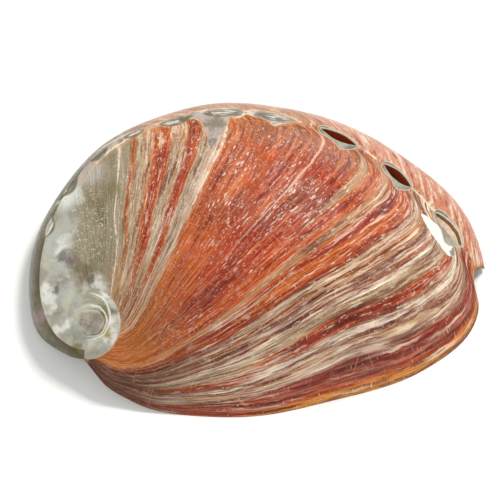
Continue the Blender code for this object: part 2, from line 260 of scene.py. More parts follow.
# The inside. The shell is a skin a few millimetres thick, thin at the lip and broad along the far margin,
# where the real shell has its columellar shelf. It is evened out from row to row, as the nacre is laid.
SHELL_THICKNESS = 2.8
LIP_THICKNESS = 2.0
SHELF_WIDTH = 6.0
SHELF_SHAPE = (0.8, 0.7)
NACRE_LAYERS = 260
HEADING_ROUNDS = 40
NO_LENGTH = 1e-12


def grid_normals(grid):
    """Unit normals of a grid: the cross product of its steps along rows and columns, turned to face out."""
    normal = np.cross(np.gradient(grid, axis=0), np.gradient(grid, axis=1))
    return normal / (np.linalg.norm(normal, axis=-1, keepdims=True) + NO_LENGTH)


def evened(grid):
    """One step of evening out: each point moves half-way to the mean of its four neighbours. Across the
    suture the neighbour is on the turn before or after."""
    wide_grid = np.pad(grid, ((1, 1), (1, 1), (0, 0)), mode="edge")
    wide_grid[1:TURN_ROWS + 2, 0] = grid[TURN_ROWS:, -2]
    wide_grid[TURN_ROWS + 1:-1, -1] = grid[:TURN_ROWS + 1, 1]
    mean = (wide_grid[:-2, 1:-1] + wide_grid[2:, 1:-1] + wide_grid[1:-1, :-2] + wide_grid[1:-1, 2:]) / 4
    result = 0.5 * grid + 0.5 * mean
    result[TURN_ROWS:, -1] = result[:TURN_ROWS + 1, 0]
    return result


normal = -grid_normals(outside)
if normal[TURN_ROWS // 3, CREST_COLUMNS // 2, 2] < 0:
    normal = -normal
for _ in range(NACRE_LAYERS // 3):
    normal = evened(normal)
    normal /= np.linalg.norm(normal, axis=-1, keepdims=True) + NO_LENGTH
inside = outside - normal * SHELL_THICKNESS

rim = np.concatenate([outside[0], outside[1:TURN_ROWS, -1]])
loop = rim[:, 0] + 1j * rim[:, 1]
heading = np.roll(loop, -1) - np.roll(loop, 1)
for _ in range(HEADING_ROUNDS):
    heading = heading / np.abs(heading)
    heading = heading + 0.5 * (np.roll(heading, 1) + np.roll(heading, -1))
far_side = np.linspace(0, 1, TURN_ROWS)[1:]
rim_width = np.full(len(rim), LIP_THICKNESS)
shelf = np.sin(np.pi * far_side**SHELF_SHAPE[0])**SHELF_SHAPE[1]
rim_width[-len(far_side):] += (SHELF_WIDTH - LIP_THICKNESS) * shelf
inner_loop = loop + 1j * heading / np.abs(heading) * rim_width
inner_rim = np.stack([inner_loop.real, inner_loop.imag, rim[:, 2]], axis=1)
for _ in range(NACRE_LAYERS):
    inside[0] = inner_rim[:len(part)]
    inside[1:TURN_ROWS, -1] = inner_rim[len(part):]
    inside[TURN_ROWS, -1] = inside[0, 0]
    inside = evened(inside)
    inside[..., 2] = np.maximum(inside[..., 2], 0)
inside[0] = inner_rim[:len(part)]
inside[1:TURN_ROWS, -1] = inner_rim[len(part):]
inside[TURN_ROWS:, -1] = inside[:TURN_ROWS + 1, 0]

# The breathing holes, in a row along the ridge: turning angle, length, width. Three are open; older ones were
# sealed with nacre. Their outline is a lens whose half-width falls as a parabola to the two tips. Beside the
# youngest the grinding wheel left a flat polished facet, which is painted white as the lamp's reflection on
# it.
HOLES = ((16.3, 14.4, 5.6), (26.4, 12.4, 5.2), (37.3, 14.2, 5.2))
SEALED_HOLES = ((48.4, 12.6, 4.4), (58.6, 12.6, 4.0), (67.8, 12.0, 4.2), (78.0, 8.0, 2.6), (88.0, 8.0, 2.8),
                (99.0, 9.0, 3.2), (113.0, 8.0, 3.0))
FACET = (17.0, 17.6, 6.8)
FACET_OFFSET = 7.4
FACET_FLARE = 1.9
HOLE_LEAN = 52
TIP_SLOPE = 3
SNAP_ROUNDS = 7
HOLE_MARGIN = 0.5
HOLE_PULL = 5.0
FAR = 30.0


def hole_frame(hole_turn):
    """Middle of a hole on the crest, its direction along the row towards the older end, the direction out
    through it, and the direction across it up to the crest, all square to each other."""
    nearby = spiral(HOLE_ROW, hole_turn + np.array([-2, 0, 2]))
    heights = dome_height(nearby) + RIDGE_HEIGHT
    step = nearby[2] - nearby[0]
    lengthways = np.array([step.real, step.imag, heights[2] - heights[0]])
    lengthways /= np.linalg.norm(lengthways)
    away = -1j * step / abs(step) * np.cos(np.radians(HOLE_LEAN))
    axis = np.array([away.real, away.imag, np.sin(np.radians(HOLE_LEAN))])
    axis -= lengthways * (axis @ lengthways)
    axis /= np.linalg.norm(axis)
    middle = np.array([nearby[1].real, nearby[1].imag, heights[1]])
    return middle, lengthways, axis, np.cross(axis, lengthways)


def lens(points, hole, offset=0.0):
    """Gap to the lens, measured across it and negative inside; the run from tip to tip, -1 to 1; and the
    side."""
    hole_turn, length, width = hole
    middle, lengthways, _, across = hole_frame(hole_turn)
    run = (points - middle) @ lengthways / (length / 2)
    side = (points - middle) @ across - offset
    beyond = -TIP_SLOPE * (np.abs(run) - 1) * length / 2
    gap = np.abs(side) - np.where(np.abs(run) < 1, width / 2 * (1 - run**2), beyond)
    return np.where(np.linalg.norm(points - middle, axis=-1) < length, gap, FAR), run, side


# Where an outline crosses an edge of the grid, the nearer end of that edge moves on to it. Round each hole
# the inside is drawn to lie straight behind the outside, so that the hole goes through along its axis.
for hole in HOLES:
    for down, right in ((1, 0), (0, 1)) * SNAP_ROUNDS:
        gap = lens(outside, hole)[0]
        first, second = gap[:len(gap) - down, :gap.shape[1] - right], gap[down:, right:]
        i, j = np.nonzero((first * second < 0) & (np.abs(first) < FAR) & (np.abs(second) < FAR))
        share = first[i, j] / (first[i, j] - second[i, j])
        end = (share >= 0.5).astype(int)
        for grid in (outside, inside, growth):
            on_outline = grid[i, j] + (grid[i + down, j + right] - grid[i, j]) * share[:, None]
            grid[i + down * end, j + right * end] = on_outline
    middle, _, axis, _ = hole_frame(hole[0])
    reach = np.linalg.norm(outside - middle, axis=-1)
    thickness = (middle - inside.reshape(-1, 3)[np.argmin(reach)]) @ axis
    past_margin = np.maximum(lens(outside, hole)[0] - HOLE_MARGIN, 0)
    pull = eased(np.clip(1 - past_margin / HOLE_PULL, 0, 1))[..., None]
    inside = inside * (1 - pull) + (outside - axis * thickness) * pull

# The youngest hole is cut slanting: its far side runs in under the hole as a lit nacre slope. It slopes most
# at the hole's middle and fades over a few millimetres away from the outline.
SLANT = 2.8
SLANT_REACH = 4.0
SLANT_START = 0.8
gap, run, side = lens(outside, HOLES[0])
across = hole_frame(HOLES[0][0])[3]
near = np.clip(1 - np.maximum(gap, 0) / SLANT_REACH, 0, 1) * np.clip(-side / SLANT_START, 0, 1)
inside = inside + across * (SLANT * near * np.clip(1 - run**2, 0, 1)**0.5)[..., None]

# Distances that the colours use. The nacre ring round a hole is a thin rim with two bulges: a crescent on
# the crest side towards the younger end, and one at the older tip. Each has its width, place and reach.
RING_RIM = 0.45
CRESCENT = (4.0, -0.38, 0.42)
TIP_RING = (1.1, 0.8, 0.35)


def bulge(run, width, middle, reach):
    """A bell-shaped bulge of a ring along the run of its hole."""
    return width * np.exp(-((run - middle) / reach)**2)


hole_gap = np.min([lens(outside, hole)[0] for hole in HOLES], axis=0)
hole_ring = np.full(place.shape, FAR)
for hole in HOLES:
    gap, run, side = lens(outside, hole)
    ring = RING_RIM + bulge(run, *CRESCENT) * (side > 0) + bulge(run, *TIP_RING)
    hole_ring = np.minimum(hole_ring, gap - ring)
seal_gap = np.full(place.shape, FAR)
seal_side = np.zeros(place.shape)
for hole in SEALED_HOLES:
    gap, run, side = lens(outside, hole)
    seal_side = np.where(gap < seal_gap, side, seal_side)
    seal_gap = np.minimum(seal_gap, gap)
facet_gap, run, _ = lens(outside, FACET, FACET_OFFSET)
facet_gap = facet_gap - FACET_FLARE * np.clip(-run, 0, 1)

# Along the sealed holes the red layer is ground off down to a hem: age, and how far from the row it runs.
HEM = (
    (0.0, -3.0), (0.300, -3.0), (0.318, -1.0), (0.340, 1.0), (0.362, 3.4), (0.388, 6.6), (0.398, 3.6),
    (0.408, 1.4), (0.417, 0.8), (0.426, 2.2), (0.437, 3.6), (0.450, 4.2), (0.457, 8.0), (0.462, 13.0),
    (0.468, 19.0), (0.474, 15.5), (0.482, 10.0), (0.490, 5.0), (0.500, 1.2), (0.530, 1.6), (0.560, 0.6),
    (0.600, 1.6), (0.640, 2.4), (0.700, 5.0), (0.780, 6.0), (1.0, 5.0), (2.0, 5.0),
)
FAR_HEM = 2.4
hem_width = np.interp(age, column(HEM, 0), column(HEM, 1))[:, None]
hem_width = np.where(part > 1, np.minimum(hem_width, FAR_HEM), hem_width)
hem_gap = np.abs(place - row_end[:, None]) - hem_width

# The shell as one closed mesh: the outside, the inside, the rim and hole walls between them, and the spire's
# nub. Each cell of the grid is two triangles, split so that a hole's outline runs along their edges.
NUB_RINGS = 8
NUB_HEIGHT = 0.25
NUB_AGE = 2.2
ON_OUTLINE = 0.03
EDGE_STEPS = (0.1, 0.5, 0.9)
rows, columns = place.shape
number = np.arange(rows * columns).reshape(rows, columns)
number[TURN_ROWS:, -1] = number[:TURN_ROWS + 1, 0]
cell = np.stack(np.mgrid[:rows - 1, :columns - 1].reshape(2, -1), axis=-1)
one, two, three, four = (cell + step for step in ((0, 0), (0, 1), (1, 1), (1, 0)))
edge_point = np.abs(hole_gap) < ON_OUTLINE
on_outline = [edge_point[c[:, 0], c[:, 1]] for c in (one, two, three, four)]
turned = (on_outline[1] & on_outline[3] & ~(on_outline[0] & on_outline[2]))[:, None]
corners = np.concatenate([np.stack([one, two, np.where(turned, four, three)], axis=1),
                          np.stack([np.where(turned, two, one), three, four], axis=1)])
corner_gap = hole_gap[corners[..., 0], corners[..., 1]]
corners = corners[(corner_gap.max(axis=1) > ON_OUTLINE) | (corner_gap.mean(axis=1) > -ON_OUTLINE / 3)]
skin_faces = number[corners[..., 0], corners[..., 1]]
skin_growth = growth[corners[..., 0], corners[..., 1]]

last_ring = np.concatenate([number[TURN_ROWS:, 0], number[-1, 1:-1]])
nub_numbers = rows * columns + np.arange((NUB_RINGS - 1) * len(last_ring)).reshape(NUB_RINGS - 1, -1)
rings = np.concatenate([last_ring[None], nub_numbers])
outer_ring, inner_ring = rings[:-1], rings[1:]
apex = np.full(len(last_ring), rows * columns + nub_numbers.size)
nub_faces = np.concatenate([
    np.stack([outer_ring, np.roll(outer_ring, -1, 1), inner_ring], axis=-1).reshape(-1, 3),
    np.stack([inner_ring, np.roll(outer_ring, -1, 1), np.roll(inner_ring, -1, 1)], axis=-1).reshape(-1, 3),
    np.stack([rings[-1], np.roll(rings[-1], -1), apex], axis=-1),
])


def with_nub(grid):
    """The grid's points and the nub's: rings from the last suture in to the apex, lifted as a low dome."""
    points = grid.reshape(-1, 3)
    base = points[last_ring]
    inwards = np.arange(1, NUB_RINGS) / NUB_RINGS
    apex_point = base.mean(axis=0)
    circles = base + (apex_point - base) * inwards[:, None, None]
    circles[..., 2] += NUB_HEIGHT * (1 - (1 - inwards[:, None])**2)
    return np.concatenate([points, circles.reshape(-1, 3), [apex_point + (0, 0, NUB_HEIGHT)]])


outer, inner = with_nub(outside), with_nub(inside)
count = len(outer)
outer_faces = np.concatenate([skin_faces, nub_faces])
outer_growth = np.concatenate([skin_growth, np.full((len(nub_faces), 3, 2), (NUB_AGE, 0.5))])

# An edge that only one triangle uses belongs to the rim or to a hole. Bands of quads, split in two, join each
# to the same edge of the inside; the first and the last band are narrow, which rounds the edges.
sides = np.concatenate([outer_faces[:, [k, (k + 1) % 3]] for k in range(3)])
side_growth = np.concatenate([outer_growth[:, [k, (k + 1) % 3]] for k in range(3)])
pair = np.sort(sides, axis=1)
_, first_use, uses = np.unique(pair[:, 0] * count + pair[:, 1], return_index=True, return_counts=True)
border, border_growth = sides[first_use[uses == 1]], side_growth[first_use[uses == 1]]
border_points = np.unique(border)
position = np.zeros(count, dtype=int)
position[border_points] = np.arange(len(border_points))
layers = [border_points]
layers += [2 * count + k * len(border_points) + np.arange(len(border_points)) for k in range(len(EDGE_STEPS))]
layers += [border_points + count]
strips, strip_growth = [], []
for above, below in zip(layers[:-1], layers[1:]):
    start_side, end_side = position[border[:, 0]], position[border[:, 1]]
    strips += [np.stack([above[end_side], above[start_side], below[start_side]], axis=-1),
               np.stack([above[end_side], below[start_side], below[end_side]], axis=-1)]
    strip_growth += [border_growth[:, [1, 0, 0]], border_growth[:, [1, 0, 1]]]
faces = np.concatenate([outer_faces, outer_faces[:, ::-1] + count] + strips)
face_growths = np.concatenate([outer_growth, outer_growth[:, ::-1]] + strip_growth)


def edge_bands(on_outside, on_inside):
    """Values for all points: outside, inside, then between the two at each step of the edge bands."""
    first, last = on_outside[border_points], on_inside[border_points]
    steps = [first * (1 - step) + last * step for step in EDGE_STEPS]
    return np.concatenate([on_outside, on_inside] + steps)


points = edge_bands(outer, inner)
marks = {"inwards": edge_bands(np.zeros(count), np.ones(count))}
for name, values in (("hole_gap", hole_gap), ("hole_ring", hole_ring), ("seal_gap", seal_gap),
                     ("seal_side", seal_side), ("hem_gap", hem_gap), ("facet_gap", facet_gap)):
    with_nub_values = np.concatenate([values.reshape(-1), np.full(count - values.size, FAR)])
    marks[name] = edge_bands(with_nub_values, with_nub_values)
used = np.unique(faces)
renumber = np.full(len(points), -1)
renumber[used] = np.arange(len(used))
points, faces = points[used], renumber[faces]
if np.einsum("ij,ij->", points[faces[:, 0]], np.cross(points[faces[:, 1]], points[faces[:, 2]])) < 0:
    faces, face_growths = faces[:, ::-1], face_growths[:, ::-1]

# From millimetres about the apex to the frame's metres: the shell fills its box.
low, high = (np.array(corner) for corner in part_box("shell"))
lowest, highest = points.min(axis=0), points.max(axis=0)
points = low + (points - lowest) / (highest - lowest) * (high - low)

mesh = bpy.data.meshes.new("abalone_shell")
mesh.vertices.add(len(points))
mesh.vertices.foreach_set("co", points.astype(np.float32).ravel())
mesh.loops.add(faces.size)
mesh.loops.foreach_set("vertex_index", faces.astype(np.int32).ravel())
mesh.polygons.add(len(faces))
mesh.polygons.foreach_set("loop_start", np.arange(0, faces.size, 3, dtype=np.int32))
mesh.update(calc_edges=True)
growth_map = mesh.uv_layers.new(name="growth")
growth_map.data.foreach_set("uv", face_growths.astype(np.float32).ravel())
for name, values in marks.items():
    mesh.attributes.new(name, "FLOAT", "POINT").data.foreach_set("value", values[used].astype(np.float32))
mesh.shade_smooth()
shell = bpy.data.objects.new("abalone_shell", mesh)
bpy.context.collection.objects.link(shell)
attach(shell, "root")
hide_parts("shell")


# The polished shell's finish. Red, cream and grey layers were laid down along the lip, one after another, so
# the colour follows the age. Grinding cut through them, and polish gives them a clear gloss.
def arithmetic(operation, reflected=False):
    """A method of Wire: a Math node on the wire and the other value."""
    def method(self, other):
        pair = (other, self) if reflected else (self, other)
        return node("ShaderNodeMath", {"operation": operation}, {0: pair[0], 1: pair[1]})
    return method


class Wire:
    """A number, colour or vector on its way from one node to the next."""

    def __init__(self, socket):
        self.socket = socket

    __add__, __radd__ = arithmetic("ADD"), arithmetic("ADD", True)
    __sub__, __rsub__ = arithmetic("SUBTRACT"), arithmetic("SUBTRACT", True)
    __mul__, __rmul__ = arithmetic("MULTIPLY"), arithmetic("MULTIPLY", True)
    __truediv__, __rtruediv__ = arithmetic("DIVIDE"), arithmetic("DIVIDE", True)


polished = bpy.data.materials.new("polished_abalone")
polished.use_nodes = True
shader = polished.node_tree.nodes["Principled BSDF"]


def node(kind, settings=None, inputs=None, output=0):
    """Adds a node: its settings first, a ramp's stops among them, then its sockets' values or wires."""
    made = polished.node_tree.nodes.new(kind)
    for name, value in (settings or {}).items():
        if name == "stops":
            ramp = made.color_ramp.elements
            for _ in range(len(value) - 2):
                ramp.new(0.5)
            for element, (position, colour) in zip(ramp, value):
                element.position = position
                element.color = (*colour, 1)
        else:
            setattr(made, name, value)
    for name, value in (inputs or {}).items():
        feed(made.inputs[name], value)
    return Wire(made.outputs[output])


def feed(socket, value):
    """Puts a wire, a colour or a number on a socket."""
    if isinstance(value, Wire):
        polished.node_tree.links.new(value.socket, socket)
    elif socket.type == "RGBA":
        socket.default_value = (*value, 1)
    else:
        socket.default_value = value


def blend(under, over, share):
    """One colour laid over another, as much as share says."""
    return node("ShaderNodeMix", {"data_type": "RGBA"}, {0: share, 6: under, 7: over}, 2)


def past(value, start, end):
    """0 up to start and 1 past end, with a smooth step between them."""
    return node("ShaderNodeMapRange", {"interpolation_type": "SMOOTHSTEP"},
                {"Value": value, "From Min": start, "From Max": end})


def until(value, start, end):
    """1 up to start and 0 past end, with a smooth step between them."""
    return 1 - past(value, start, end)


def between(value, rise, fall):
    """1 between two smooth steps, up over the limits of rise and down over those of fall."""
    return past(value, *rise) * until(value, *fall)


def two_tone(low, high, value, start, end):
    """One colour up to start and another past end."""
    return blend(low, high, past(value, start, end))


def times(colour, factors):
    """A colour times a factor each for red, green and blue."""
    return node("ShaderNodeVectorMath", {"operation": "MULTIPLY"}, {0: colour, 1: factors})


def vector(x, y, z=0.0):
    """Three numbers as one vector."""
    return node("ShaderNodeCombineXYZ", None, {0: x, 1: y, 2: z})


def noise(at, scale=1.0, detail=3.0, roughness=0.55):
    """Cloudy noise around 0.5."""
    return node("ShaderNodeTexNoise", None,
                {"Vector": at, "Scale": scale, "Detail": detail, "Roughness": roughness})


def distance(at, centre):
    """How far a place is from a point."""
    return node("ShaderNodeVectorMath", {"operation": "DISTANCE"}, {0: at, 1: centre}, 1)


def attribute(name):
    """One of the distances stored on the mesh."""
    return node("ShaderNodeAttribute", {"attribute_name": name}, None, 2)


def tint(red, green, blue):
    """A screen colour, 0 to 255, as the share of light that a surface gives back."""
    value = np.array([red, green, blue]) / 255
    return tuple(np.where(value < 0.04045, value / 12.92, ((value + 0.055) / 1.055)**2.4).tolist())


OCHRE = tint(204, 132, 36)
RED_ORANGE = tint(190, 80, 10)
VERMILION = tint(182, 62, 8)
DEEP_RED = tint(156, 38, 6)
ORANGE = tint(202, 102, 32)
AMBER = tint(200, 120, 34)
ROW_ORANGE = tint(192, 104, 40)
ORANGE_BROWN = tint(166, 90, 22)
MAROON = tint(142, 28, 4)
BROWN_RED = tint(158, 58, 22)
DARK_LINE = tint(112, 30, 10)
# A dark brown for the young lip by the spire: partly its dark rim layers, partly painted shade.
RIM_SHADE_BROWN = tint(88, 42, 18)
PINK_RED = tint(178, 94, 66)
MAUVE_RED = tint(160, 84, 66)
MAUVE_GREY = tint(192, 164, 144)
CREAM = tint(210, 178, 152)
WHITE_CREAM = tint(236, 220, 198)
PINK_CREAM = tint(238, 200, 180)
GREEN_CREAM = tint(186, 160, 128)
BEIGE = tint(184, 142, 104)
GREY = tint(176, 158, 132)
OLIVE = tint(112, 102, 72)
OLIVE_GREY = tint(142, 134, 110)
PEARL = tint(174, 176, 166)
YOUNG_SPAN = 0.19
YOUNG_BANDS = (
    (0.006, OCHRE), (0.0115, RED_ORANGE), (0.017, BROWN_RED), (0.0225, PINK_RED), (0.028, MAROON),
    (0.035, BROWN_RED), (0.040, MAUVE_GREY), (0.047, CREAM), (0.052, BEIGE), (0.0575, CREAM),
    (0.0612, DARK_LINE), (0.064, WHITE_CREAM), (0.070, MAUVE_GREY), (0.0735, RED_ORANGE), (0.080, MAROON),
    (0.0845, RED_ORANGE), (0.089, BEIGE), (0.094, GREEN_CREAM), (0.106, GREEN_CREAM), (0.112, WHITE_CREAM),
    (0.1155, DARK_LINE), (0.1185, PINK_RED), (0.1215, CREAM), (0.127, MAUVE_GREY), (0.1305, DARK_LINE),
    (0.134, BEIGE), (0.142, ORANGE_BROWN), (0.149, CREAM), (0.1565, GREEN_CREAM), (0.1605, MAROON),
    (0.167, RED_ORANGE), (0.181, ORANGE),
)
OLD_BANDS = (
    (0.183, ORANGE), (0.187, DEEP_RED), (0.195, MAROON), (0.201, RED_ORANGE), (0.207, BEIGE), (0.212, BEIGE),
    (0.218, RED_ORANGE), (0.245, VERMILION), (0.29, DEEP_RED), (0.34, VERMILION), (0.40, RED_ORANGE),
    (0.438, RED_ORANGE), (0.452, ORANGE), (0.459, CREAM), (0.466, MAUVE_GREY), (0.486, GREY),
    (0.491, RED_ORANGE), (0.504, DEEP_RED), (0.511, BEIGE), (0.528, GREY), (0.534, RED_ORANGE),
    (0.545, DEEP_RED), (0.553, RED_ORANGE), (0.559, BEIGE), (0.580, GREY), (0.5845, ORANGE_BROWN),
    (0.590, ORANGE_BROWN), (0.595, OLIVE_GREY), (0.608, GREY), (0.614, OLIVE_GREY), (0.640, OLIVE),
    (0.70, OLIVE_GREY),
)

growth_place = node("ShaderNodeUVMap", {"uv_map": "growth"})
age_at = node("ShaderNodeSeparateXYZ", None, {0: growth_place}, 0)
part_at = node("ShaderNodeSeparateXYZ", None, {0: growth_place}, 1)
spot_at = node("ShaderNodeTexCoord", None, None, 3)


def grown(across_lines, along_lines, detail=3.0, roughness=0.55):
    """Noise that follows the growth lines, with its scale across them and along them."""
    laid = vector(age_at * across_lines, part_at * along_lines)
    return noise(laid, detail=detail, roughness=roughness)


# The bands wander, by reaches given in turns: broad drifts, folds that are strongest on the young part away
# from the hole row, and a fine grain. The newest edge wanders least. By the suture all run a little older.
DRIFT_REACH = 0.012
FOLD_REACH = 0.030
LEAST_FOLD = 0.007
WAVER_REACH = 0.005
GRAIN_REACH = 0.003
SUTURE_LEAD = 0.010
drift = grown(11, 3.4, detail=2.0)
waver = grown(80, 24)
folds = grown(85, 2.4, detail=4.0, roughness=0.62)
grain = noise(spot_at, 850.0, 4.0, 0.65)
patches = noise(spot_at, 55.0)
cloud = noise(spot_at, 130.0, 4.0, 0.6)
settled = past(age_at, 0.0, 0.035) * 0.8 + 0.2
folding = until(part_at, 0.55, 0.90) * until(age_at, 0.20, 0.24) * FOLD_REACH + LEAST_FOLD
wandered = (drift - 0.5) * DRIFT_REACH + (folds - 0.5) * folding
wandered = wandered + (waver - 0.5) * WAVER_REACH + (grain - 0.5) * GRAIN_REACH
bands_at = age_at + until(part_at, 0.30, 0.44) * SUTURE_LEAD + settled * wandered
young_stops = [(at / YOUNG_SPAN, band_colour) for at, band_colour in YOUNG_BANDS]
young_colour = node("ShaderNodeValToRGB", {"stops": young_stops}, {0: bands_at / YOUNG_SPAN})
old_colour = node("ShaderNodeValToRGB", {"stops": OLD_BANDS}, {0: bands_at})
colour = two_tone(young_colour, old_colour, bands_at, 0.1815, 0.1835)

# In the broad red zone the layers are amber by the suture, vermilion with a mauve bloom over the top of the
# dome, and orange-brown with grey-beige bands by the hole row. Ages are pairs: where a step starts and ends.
RED_ZONE = ((0.20, 0.235), (0.438, 0.458))
OLDER_ZONE = ((0.17, 0.22), (0.60, 0.66))
ROW_TOPS = ((0.480, 0.495), (0.56, 0.58))
ROW_BAND = ((0.240, 0.244), (0.252, 0.257))
ROW_LINE = ((0.228, 0.231), (0.232, 0.235))
BLOOM_CENTRE = (0.0044, 0.0065, 0.043)
in_red = between(bands_at, *RED_ZONE)
by_row = past(part_at + (patches - 0.5) * 0.3, 0.70, 0.93)
by_suture = until(part_at + (patches - 0.5) * 0.2, 0.10, 0.36)
bloom = until(distance(spot_at, BLOOM_CENTRE), 0.006, 0.030) * past(patches, 0.36, 0.58)
colour = blend(colour, MAUVE_RED, bloom * in_red * 0.6)
colour = blend(colour, ORANGE_BROWN, by_row * in_red * 0.9)
colour = blend(colour, ROW_ORANGE, by_row * between(bands_at, *ROW_TOPS) * 0.55)
upper = past(part_at, 0.55, 0.75)
colour = blend(colour, GREEN_CREAM, between(bands_at, *ROW_BAND) * upper * 0.85)
colour = blend(colour, DEEP_RED, between(bands_at, *ROW_LINE) * past(part_at, 0.4, 0.7))
amber = two_tone(AMBER, BEIGE, bands_at, 0.42, 0.56)
colour = blend(colour, amber, by_suture * between(bands_at, *OLDER_ZONE) * 0.7)
# Painted shade: the young layers by the spire darken to brown towards the lip. This is partly the dark rim
# layers and partly the shade on the dome's lower side.
young_rim_shade = until(part_at + (drift - 0.5) * 0.3, 0.08, 0.36) * until(bands_at, 0.16, 0.21)
colour = blend(colour, RIM_SHADE_BROWN, young_rim_shade * 0.95)

# Fine growth lines: dark and pale threads along every line, wavy and broken, strongest on the young part.
# Cords are broader threads, glints are bright dots on the bloom, and shade darkens whole layers.
DARKER = (0.42, 0.17, 0.10)
SHADED = (0.62, 0.48, 0.40)
PALE_ARC = ((0.3135, 0.3155), (0.3165, 0.3185))
threads = noise(vector(age_at * 330 + waver * 1.4, part_at * 9), detail=5.0, roughness=0.72)
cords = noise(vector(age_at * 125 + waver * 1.0, part_at * 4), detail=4.0, roughness=0.62)
younger = until(bands_at, 0.56, 0.62) * (1 - young_rim_shade * 0.7)
colour = blend(colour, times(colour, DARKER), until(cords, 0.38, 0.46) * younger * 0.85)
pale_cord = blend(WHITE_CREAM, tint(214, 122, 62), in_red)
colour = blend(colour, pale_cord, past(cords, 0.54, 0.62) * younger * 0.6)
darker = times(colour, DARKER)
paler = node("ShaderNodeVectorMath", {"operation": "MULTIPLY_ADD"},
             {0: colour, 1: (1.25, 1.25, 1.2), 2: (0.11, 0.08, 0.05)})
young = until(bands_at, 0.17, 0.21)
dark_threads = until(threads - young * 0.05, 0.38, 0.47)
pale_threads = past(threads + young * 0.01, 0.53, 0.60)
colour = blend(colour, darker, dark_threads * (younger * 0.7 + 0.15))
colour = blend(colour, paler, pale_threads * (0.8 - young_rim_shade * 0.6))
mid_part = past(part_at, 0.35, 0.60)
colour = blend(colour, PINK_CREAM, between(bands_at, *PALE_ARC) * mid_part * 0.75)
glints = noise(vector(age_at * 210, part_at * 15, patches * 3), 1.0, 5.0, 0.8)
glint_share = in_red * (0.2 + bloom * 0.8) * 0.85
colour = blend(colour, tint(248, 222, 214), past(glints, 0.56, 0.63) * glint_share)
shade = until(grown(26, 5, detail=4.0, roughness=0.7), 0.36, 0.52)
colour = blend(colour, times(colour, SHADED), shade * younger * (in_red * 0.4 + 0.3))

# Wear and painted sparkle: white flecks strung along the growth lines, partly pits of the polishing and
# partly painted highlights, dots and ticks in rows, and fine scratches across them. A fleck is a cell with
# its scale across and along the lines, and how rare it is; a scratch has its angle, width and length, and how
# rare it is.
FLECKS = ((170, 34, 0.62), (330, 75, 0.55))
SCRATCHES = ((42, 0.00034, 0.020, 0.70), (62, 0.00040, 0.014, 0.705), (-24, 0.00036, 0.016, 0.72))
flecks_and_sparkle = 0.0
for across_lines, along_lines, rarity in FLECKS:
    cells = {"Vector": vector(age_at * across_lines, part_at * along_lines, grain * 1.4), "Scale": 1.0}
    fleck_size = node("ShaderNodeTexVoronoi", None, cells)
    fleck_tone = node("ShaderNodeTexVoronoi", None, cells, 1)
    picked = past(node("ShaderNodeSeparateColor", None, {0: fleck_tone}), rarity, rarity + 0.1)
    flecks_and_sparkle = until(fleck_size, 0.08, 0.36) * picked + flecks_and_sparkle
fleck_and_sparkle_share = past(bands_at, 0.19, 0.25) * (past(patches, 0.40, 0.60) * 0.6 + 0.3 + bloom * 0.6)
flecks_and_sparkle = past(flecks_and_sparkle * fleck_and_sparkle_share, 0.0, 0.7)
# Painted sparkle: some of the white flecks stand in for tiny highlights on the polish, and the rest are pits
# of the polishing.
colour = blend(colour, tint(240, 214, 196), flecks_and_sparkle * 0.9)
strung = past(grown(260, 30, roughness=0.7), 0.58, 0.64)
strung_share = past(bands_at, 0.04, 0.07) * (1 - in_red * 0.6) * younger
colour = blend(colour, WHITE_CREAM, strung * (strung_share * 0.5 + 0.12))
scratches = 0.0
for angle, width, length, rarity in SCRATCHES:
    laid = node("ShaderNodeMapping", {"vector_type": "TEXTURE"}, {
        "Vector": spot_at, "Rotation": (0, 0, np.radians(angle)), "Scale": (width, length, length)})
    scratches = past(noise(laid, detail=1.0), rarity, rarity + 0.04) + scratches
scratches = past(scratches, 0.1, 1.0) * until(bands_at, 0.50, 0.60)
colour = blend(colour, tint(236, 168, 112), scratches * 0.5)
ticks = past(grown(110, 210, detail=1.0), 0.68, 0.73)
colour = blend(colour, WHITE_CREAM, ticks * younger * 0.5)

# The spire and the oldest part were ground down to pearl, mottled with olive and mauve where darker layers
# are left. Beside them lies an olive band with pale speckles, and a cream and a white line run further out.
# A mark has its middle, radius and colour.
CREAM_LINE = ((0.4535, 0.4555), (0.4575, 0.4595))
WHITE_LINE = ((0.6085, 0.6105), (0.6115, 0.6135))
SPECKLED_CENTRE = (-0.0570, 0.0060, 0.0205)
OLD_MARKS = (
    ((-0.0640, -0.0055, 0.0170), 0.0024, tint(104, 92, 96)),
    ((-0.0610, -0.0078, 0.0175), 0.0028, tint(120, 104, 104)),
    ((-0.0580, -0.0100, 0.0178), 0.0030, tint(116, 106, 82)),
    ((-0.0552, -0.0125, 0.0180), 0.0028, tint(108, 98, 66)),
    ((-0.0524, -0.0165, 0.0180), 0.0036, tint(234, 234, 226)),
    ((-0.0541, -0.0144, 0.0180), 0.0015, tint(84, 68, 56)),
    ((-0.0657, -0.0169, 0.0160), 0.0016, tint(92, 78, 80)),
    ((-0.0591, -0.0371, 0.0135), 0.0020, tint(112, 100, 52)),
    ((-0.0531, -0.0191, 0.0180), 0.0022, tint(124, 124, 98)),
    ((-0.0488, -0.0245, 0.0165), 0.0022, tint(96, 94, 54)),
    ((-0.0482, -0.0313, 0.0155), 0.0020, tint(142, 130, 66)),
    ((-0.0486, 0.0150, 0.0250), 0.0048, tint(124, 112, 76)),
    ((-0.0550, 0.0235, 0.0215), 0.0050, tint(186, 178, 172)),
    ((-0.0625, 0.0160, 0.0180), 0.0046, tint(222, 226, 220)),
)
pearl_at = age_at + part_at * 0.10 + (patches - 0.5) * 0.16
in_pearl = past(pearl_at, 0.745, 0.80)
warm_spots = past(noise(spot_at, 210.0), 0.54, 0.70)
white_spots = past(noise(spot_at, 95.0, 4.0), 0.53, 0.64)
pearl = two_tone(tint(150, 144, 130), PEARL, cloud, 0.34, 0.60)
